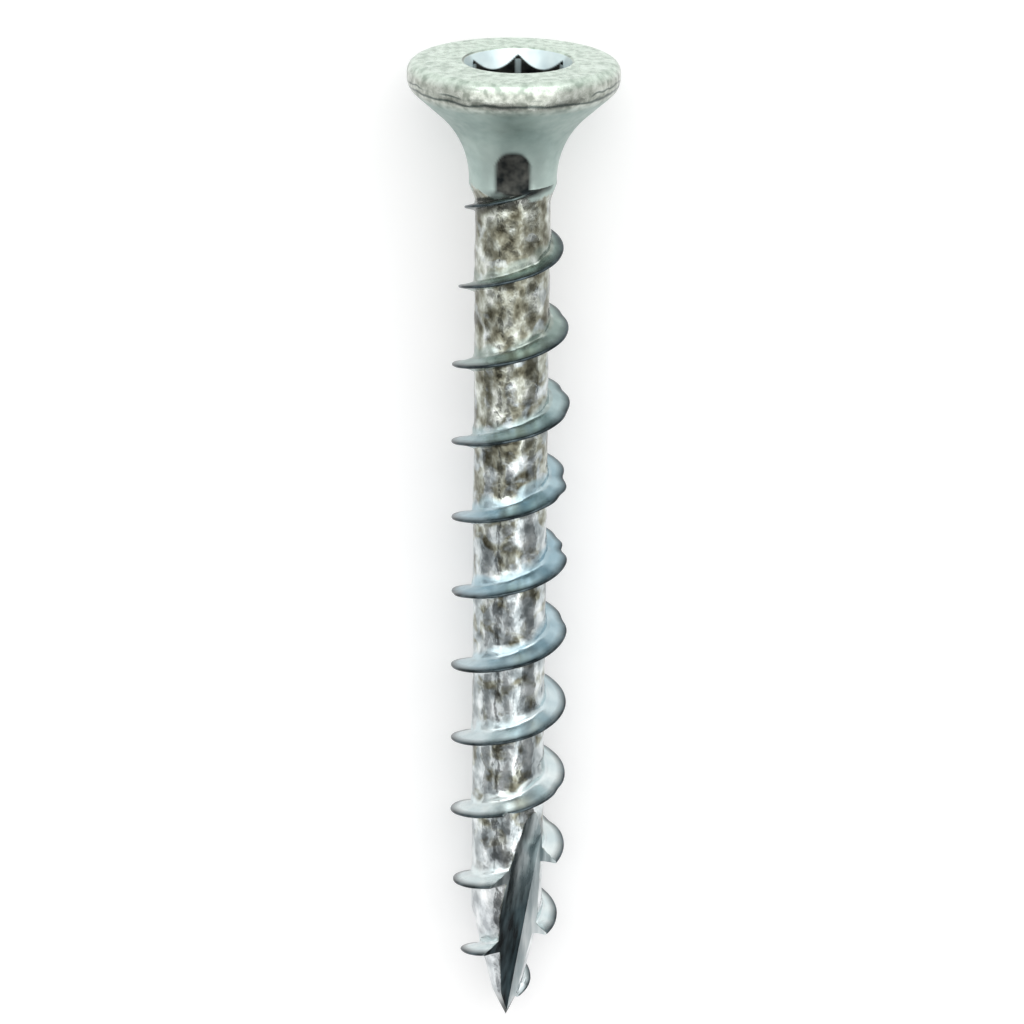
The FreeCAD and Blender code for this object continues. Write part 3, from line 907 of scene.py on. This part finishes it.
# %% Thread finish
def thread_finish():
    """The core, the neck's end, the thread's sides and its crest in one material."""
    paint = new_material("zinc_plate_on_rolled_thread")
    place = add_node(paint, "ShaderNodeTexCoord", output="Object")
    station = add_node(paint, "ShaderNodeAttribute", output="Fac", attribute_name="station")
    ridge = add_node(paint, "ShaderNodeAttribute", output="Fac", attribute_name="ridge")
    crest = add_node(paint, "ShaderNodeAttribute", output="Fac", attribute_name="crest")
    stretched = add_node(paint, "ShaderNodeMapping", {"Vector": place, "Scale": (1, 0.75, 1)})
    lump_inputs = {"Vector": stretched, "Scale": per_size(LUMP_SIZE), "Detail": 3.0}
    lumps = add_node(paint, "ShaderNodeTexNoise", lump_inputs)
    stain_inputs = {"Vector": place, "Scale": per_size(STAIN_SIZE), "Detail": 3.0, "Distortion": 0.4}
    stains = add_node(paint, "ShaderNodeTexNoise", stain_inputs)

    # The neck covers the core down to its ragged end, and both take the painted dark
    neck_clouds = add_node(paint, "ShaderNodeTexNoise", {"Vector": place, "Scale": per_size(CLOUD_SIZE)})
    neck_colour = add_node(paint, "ShaderNodeValToRGB", {"Fac": neck_clouds}, stops=NECK_COLOURS)
    neck = neck_share(paint, station, stains)
    mix = {0: neck, 6: core_colour(paint, station, lumps, stains), 7: neck_colour}
    colour = add_node(paint, "ShaderNodeMix", mix, output=2, data_type="RGBA")
    colour = painted_dark_over(paint, place, colour)

    # The sides and the crest cover the painted dark
    side = add_node(paint, "ShaderNodeMapRange", {"Value": ridge, "From Min": 0.2, "From Max": 0.8})
    crest_clouds = add_node(paint, "ShaderNodeTexNoise", {"Vector": place, "Scale": per_size(CREST_CLOUD_SIZE)})
    crest_reflection_colour = add_node(paint, "ShaderNodeValToRGB", {"Fac": crest_clouds}, stops=CREST_REFLECTION_COLOURS)
    for share, over in ((side, side_colour(paint, place, station)), (crest, crest_reflection_colour)):
        mix = {0: share, 6: colour, 7: over}
        colour = add_node(paint, "ShaderNodeMix", mix, output=2, data_type="RGBA")

    # The smooth parts are rougher mirrors with less bump
    smooth = add_node(paint, "ShaderNodeMath", {0: side, 1: neck}, operation="MAXIMUM")
    satin = add_node(paint, "ShaderNodeMapRange", {"Value": smooth, "To Min": 0.17, "To Max": 0.27})
    neck_satin = add_node(paint, "ShaderNodeMapRange", {"Value": neck, "To Min": 0.0, "To Max": 0.45})
    roughness = add_node(paint, "ShaderNodeMath", {0: satin, 1: neck_satin}, operation="MAXIMUM")
    strength = add_node(paint, "ShaderNodeMapRange", {"Value": smooth, "To Min": 1.0, "To Max": 0.12})
    return metal(paint, colour, roughness, lumps, strength, distance=0.045)


thread_paint = thread_finish()
print(thread_paint.name, "has", len(thread_paint.node_tree.nodes), "nodes")

# %% [markdown]
# The flute is cut after rolling, and both its walls keep the streaked mark of the cutter. The broad one is
# painted dark, as painted shade, and the narrow one is painted bright, as painted light. Where the cutter ran
# out, at the flute's head, the wall is paler. The wedge has one station on all its corners, so the run-out is
# found by the place along the screw instead, which lies along Y.

# %% Finishes of the flute's walls
STREAK_SIZE = 0.35
STREAK_STRETCH = (1, 0.16, 1)
RUN_OUT = (33.4, 36.2)
RUN_OUT_COLOURS = ((0.36, "#7d8b8e"), (0.64, "#c9d2d3"))


def cut_finish(name, dark, light, roughness):
    """Streaks along the screw between a dark and a light colour."""
    paint = new_material(name)
    place = add_node(paint, "ShaderNodeTexCoord", output="Object")
    stretched = add_node(paint, "ShaderNodeMapping", {"Vector": place, "Scale": STREAK_STRETCH})
    streak_inputs = {"Vector": stretched, "Scale": per_size(STREAK_SIZE), "Detail": 3.0}
    streaks = add_node(paint, "ShaderNodeTexNoise", streak_inputs)
    wall_colour = add_node(paint, "ShaderNodeValToRGB", {"Fac": streaks}, stops=((0.36, dark), (0.64, light)))
    pale_colour = add_node(paint, "ShaderNodeValToRGB", {"Fac": streaks}, stops=RUN_OUT_COLOURS)
    along = add_node(paint, "ShaderNodeSeparateXYZ", {"Vector": place}, output="Y")
    pale_end, dark_end = [placement.translation.y - station * MM for station in RUN_OUT]
    run_out_range = {"Value": along, "From Min": dark_end, "From Max": pale_end}
    run_out = add_node(paint, "ShaderNodeMapRange", run_out_range)
    mix = {0: run_out, 6: wall_colour, 7: pale_colour}
    colour = add_node(paint, "ShaderNodeMix", mix, output=2, data_type="RGBA")
    rough_range = {"Value": streaks, "From Min": 0.3, "From Max": 0.7,
                   "To Min": roughness - 0.06, "To Max": roughness + 0.06}
    varied = add_node(paint, "ShaderNodeMapRange", rough_range)
    strength = add_node(paint, "ShaderNodeMapRange", {"Value": streaks, "To Min": 0.8, "To Max": 1.0})
    return metal(paint, colour, varied, streaks, strength, distance=0.012)


# The broad wall's dark colours are painted shade, and the narrow wall's bright ones painted light
shaded_broad_wall = cut_finish("zinc_plate_in_cut_flute_painted_shade", "#0e1518", "#46555a", 0.3)
lit_narrow_wall = cut_finish("zinc_plate_on_flute_wall_painted_light", "#cdd7d9", "#f2f6f6", 0.7)
finish_materials = (head_paint, mouth_paint, thread_paint, shaded_broad_wall, lit_narrow_wall)
for piece in (skin, wedge):
    for material in finish_materials:
        piece.data.materials.append(material)
print([material.name for material in finish_materials])

# %% [markdown]
# ## The cut
# The Boolean is evaluated once and its mesh is kept, so that the finished skin is a plain mesh. The skin
# shades smoothly, apart from the edges that are sharper than a limit, and it is then laid where the CAD solid
# lies. The last lines say which body it rides on and which CAD node it replaces.

# %% Make the cut and finish the piece
cut = skin.modifiers.new("flute", "BOOLEAN")
cut.operation = "DIFFERENCE"
cut.solver = "EXACT"
cut.object = wedge
bpy.context.view_layer.update()
evaluated = skin.evaluated_get(bpy.context.evaluated_depsgraph_get())
cut_mesh = bpy.data.meshes.new_from_object(evaluated)
skin.modifiers.clear()
skin.data = cut_mesh
bpy.data.objects.remove(wedge)
SHARP_ANGLE = math.radians(40)
skin.data.polygons.foreach_set("use_smooth", [True] * len(skin.data.polygons))
skin.data.set_sharp_from_angle(angle=SHARP_ANGLE)
skin.data.name = "hinge_screw_skin"
skin.name = "hinge_screw_skin"
skin.data.transform(placement)
bpy.context.view_layer.update()
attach(skin, "root")
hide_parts("hinge_screw")
triangles = sum(len(polygon.vertices) - 2 for polygon in skin.data.polygons)
print("after the cut there are", triangles, "triangles")

# %% [markdown]
# ## Floor
# The photograph has a pure white background. The floor is pale and matt, and its colour is
# lifted to white for the camera and for reflections only, so the soft shadow stays.

# %% The floor
FLOOR_SIZE = 1.2
floor_mesh = bpy.data.meshes.new("floor")
half = FLOOR_SIZE / 2
floor_corners = [(-half, -half, 0), (half, -half, 0), (half, half, 0), (-half, half, 0)]
floor_mesh.from_pydata(floor_corners, [], [(0, 1, 2, 3)])
floor = bpy.data.objects.new("floor", floor_mesh)
bpy.context.scene.collection.objects.link(floor)
FLOOR_LIFT = 0.2


def seen_directly(owner):
    """1 for camera, mirror and see-through rays, and 0 for the light that falls on things."""
    total = add_node(owner, "ShaderNodeLightPath", output="Is Camera Ray")
    for name in ("Is Glossy Ray", "Is Transmission Ray"):
        other = add_node(owner, "ShaderNodeLightPath", output=name)
        total = add_node(owner, "ShaderNodeMath", {0: total, 1: other}, operation="MAXIMUM")
    return total


floor_paint = new_material("matt_white_floor")
matt = add_node(floor_paint, "ShaderNodeBsdfDiffuse", {"Color": linear("#f4f4f4")})
lift = add_node(floor_paint, "ShaderNodeEmission", {"Strength": FLOOR_LIFT})
nothing = add_node(floor_paint, "ShaderNodeEmission", {"Strength": 0.0})
choice = {0: seen_directly(floor_paint), 1: nothing, 2: lift}
lifted = add_node(floor_paint, "ShaderNodeMixShader", choice)
both = add_node(floor_paint, "ShaderNodeAddShader", {0: matt, 1: lifted})
add_node(floor_paint, "ShaderNodeOutputMaterial", {"Surface": both})
floor.data.materials.append(floor_paint)
print("the floor is", FLOOR_SIZE, "m wide")

# %% [markdown]
# ## Light
# A soft white sky lights the screw from all sides. The camera and the mirrors see it as pure
# white, and the light that falls on things is a little weaker, so that no colour clips.

# %% The sky
SKY_STRENGTH = 0.75
world = bpy.data.worlds.new("studio")
bpy.context.scene.world = world
world.use_nodes = True
world.node_tree.nodes.clear()
strength_range = {"Value": seen_directly(world), "To Min": SKY_STRENGTH, "To Max": 1.0}
sky_strength = add_node(world, "ShaderNodeMapRange", strength_range)
sky = add_node(world, "ShaderNodeBackground", {"Color": linear("#ffffff"), "Strength": sky_strength})
add_node(world, "ShaderNodeOutputWorld", {"Surface": sky})
print("the sky's light has strength", SKY_STRENGTH)

# %% [markdown]
# One large soft lamp above the front gives the head its highlight. Directions are told from
# the upright screw, in degrees from its front towards its right, and up.

# %% The lamp
MIDDLE = (0, 0, -20)


def direction_from_middle(azimuth, elevation):
    """A direction from the upright screw: azimuth from its front towards its right, and up."""
    round_axis = math.radians(azimuth)
    upwards = math.radians(elevation)
    right = math.sin(round_axis) * math.cos(upwards)
    front = math.cos(round_axis) * math.cos(upwards)
    return Vector((right, -front, math.sin(upwards)))


def aim(thing, azimuth, elevation, distance):
    """Puts a lamp or card at a distance in millimetres and turns it to face the screw."""
    towards = direction_from_middle(azimuth, elevation)
    place = Vector(MIDDLE) + towards * distance
    turn = towards.to_track_quat("Z", "Y").to_matrix().to_4x4()
    thing.matrix_world = placement @ Matrix.Translation(place * MM) @ turn


def soft_lamp(name, azimuth, elevation, distance, size, watts):
    """A square lamp that faces the screw; its size and distance are in millimetres."""
    lamp = bpy.data.lights.new(name, "AREA")
    lamp.shape = "SQUARE"
    lamp.size = size * MM
    lamp.energy = watts
    made = bpy.data.objects.new(name, lamp)
    bpy.context.scene.collection.objects.link(made)
    aim(made, azimuth, elevation, distance)
    return made


key = soft_lamp("key", azimuth=10, elevation=50, distance=300, size=420, watts=0.62)
print("the lamp gives", key.data.energy, "W")

# %% [markdown]
# Bare metal shows what stands around it. The bright and dark bands that run down the screw in
# the photograph are mirror images of the studio, so cards stand in for them. Only mirror rays
# see them: they throw no light or shadow, and the camera doesn't see them.

# %% A card for the metal to mirror
def card(name, azimuth, distance, width, first_station, last_station, brightness):
    """A card beside the screw that only the metal sees, in its reflections; in millimetres."""
    mesh = bpy.data.meshes.new(name)
    half_width = width / 2
    corners = [(-half_width, -last_station), (half_width, -last_station),
               (half_width, -first_station), (-half_width, -first_station)]
    towards = direction_from_middle(azimuth, 0)
    sideways = Vector((0, 0, 1)).cross(towards)
    places = [towards * distance + sideways * across + Vector((0, 0, along)) for across, along in corners]
    mesh.from_pydata([placement @ (place * MM) for place in places], [], [(0, 1, 2, 3)])
    made = bpy.data.objects.new(name, mesh)
    bpy.context.scene.collection.objects.link(made)
    glow = new_material(name + "_paint")
    shine = add_node(glow, "ShaderNodeEmission", {"Strength": brightness})
    add_node(glow, "ShaderNodeOutputMaterial", {"Surface": shine})
    mesh.materials.append(glow)
    made.visible_camera = False
    made.visible_diffuse = False
    made.visible_shadow = False
    made.visible_transmission = False
    return made


print("a card is seen in reflections only")

# %% [markdown]
# Most cards stand far away and end below the head, so that the head stays clear of them. The
# two beside the point are small and close.

# %% The cards
FAR = 250
BELOW_HEAD = 80
# A card's name, azimuth, distance, width, first and last station and brightness
CARDS = (
    ("card_left", -95, 300, 400, 100, 500, 0.5),
    ("card_right", 88, 300, 300, 100, 500, 0.38),
    ("card_front", 0, FAR, 500, 170, 900, 0.28),
    ("card_rim", -4, FAR + 5, 600, -150, 82, 2.0),
    ("card_middle_strip", -6, FAR - 5, 80, BELOW_HEAD, 600, 0.4),
    ("card_streak", 26, FAR - 5, 70, BELOW_HEAD, 600, 2.0),
    ("card_left_strip", -37, FAR - 5, 60, BELOW_HEAD, 600, 0.2),
    ("card_right_strip", 55, FAR - 5, 50, BELOW_HEAD, 600, 0.35),
    ("card_tip_right", 85, 15, 16, 38, 54, 0.08),
    ("card_tip_left", -88, 15, 16, 40, 56, 1.3),
)
for settings in CARDS:
    card(*settings)
print(len(CARDS), "cards stand round the screw")

# %% [markdown]
# ## Camera
# The photograph's camera was worked out from the head's ellipse and the thread: a long lens,
# level with the head's top and looking down a little. Laid down with the screw, it looks down
# on the floor.

# %% The camera
CAMERA_RIGHT = 0.08
CAMERA_BACK = 139.2
CAMERA_UP = 33.36
CAMERA_PITCH = 0.3577
CAMERA_ROLL = 0.0089
SENSOR_WIDTH = 36
LENS_PER_SENSOR = 3674 / 1024
camera_data = bpy.data.cameras.new("camera")
camera_data.sensor_width = SENSOR_WIDTH
camera_data.lens = SENSOR_WIDTH * LENS_PER_SENSOR
camera_data.clip_start = 0.01
camera = bpy.data.objects.new("camera", camera_data)
bpy.context.scene.collection.objects.link(camera)
right = Vector((1, 0, 0))
up = Vector((0, math.sin(CAMERA_PITCH), math.cos(CAMERA_PITCH)))
level_right = right * math.cos(CAMERA_ROLL) + up * math.sin(CAMERA_ROLL)
level_up = up * math.cos(CAMERA_ROLL) - right * math.sin(CAMERA_ROLL)
backwards = level_right.cross(level_up)
view_frame = Matrix((level_right, level_up, backwards)).transposed().to_4x4()
view_frame.translation = Vector((CAMERA_RIGHT, -CAMERA_BACK, CAMERA_UP)) * MM
camera.matrix_world = placement @ view_frame
bpy.context.scene.camera = camera
bpy.context.scene.view_settings.view_transform = "Standard"
print("the lens is", round(camera_data.lens, 1), "mm")
